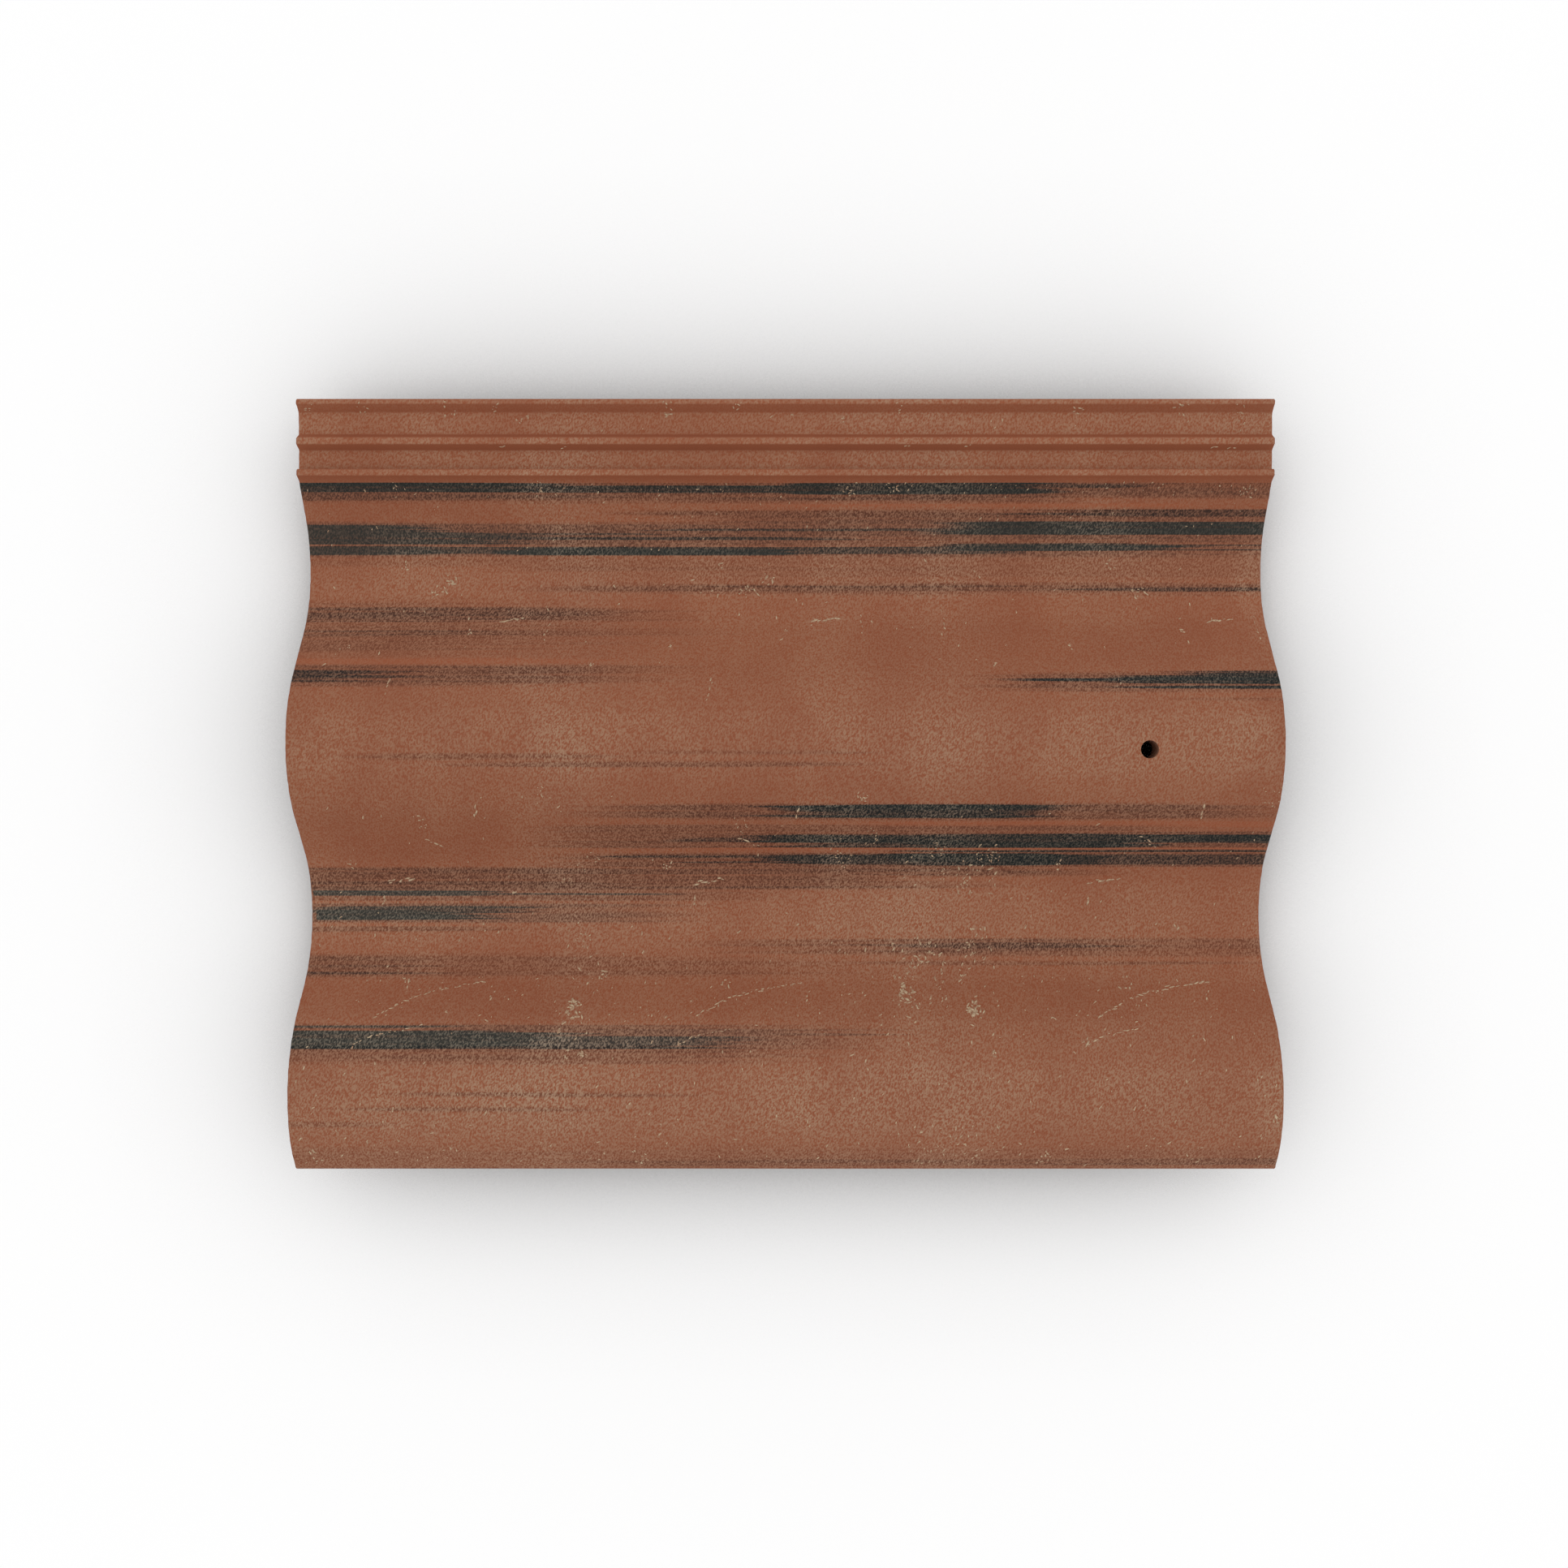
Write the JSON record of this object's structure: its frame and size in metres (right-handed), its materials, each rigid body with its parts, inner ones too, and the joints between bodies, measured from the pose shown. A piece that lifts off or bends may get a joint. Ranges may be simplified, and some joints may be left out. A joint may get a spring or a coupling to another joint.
{
  "type": "interlocking double pantile roof tile",
  "caption": "Concrete roof tile with a rolling wave section, a ribbed underlock along one side, a matching overlock along the other, and a nail hole near its head.",
  "frame": {"origin": "middle of the footprint, at the height of the feet of the nibs", "axes": "+X from tail to head, up the roof slope; +Y across the course towards the underlock; +Z out of the weathered face"},
  "size_m": [0.42, 0.33, 0.0598],
  "materials": {
    "tile": "matt terracotta red-brown concrete, mottled, with charcoal streaks along its length"
  },
  "bodies": {
    "root": {"roof_tile": "tile"}
  },
  "joints": []
}
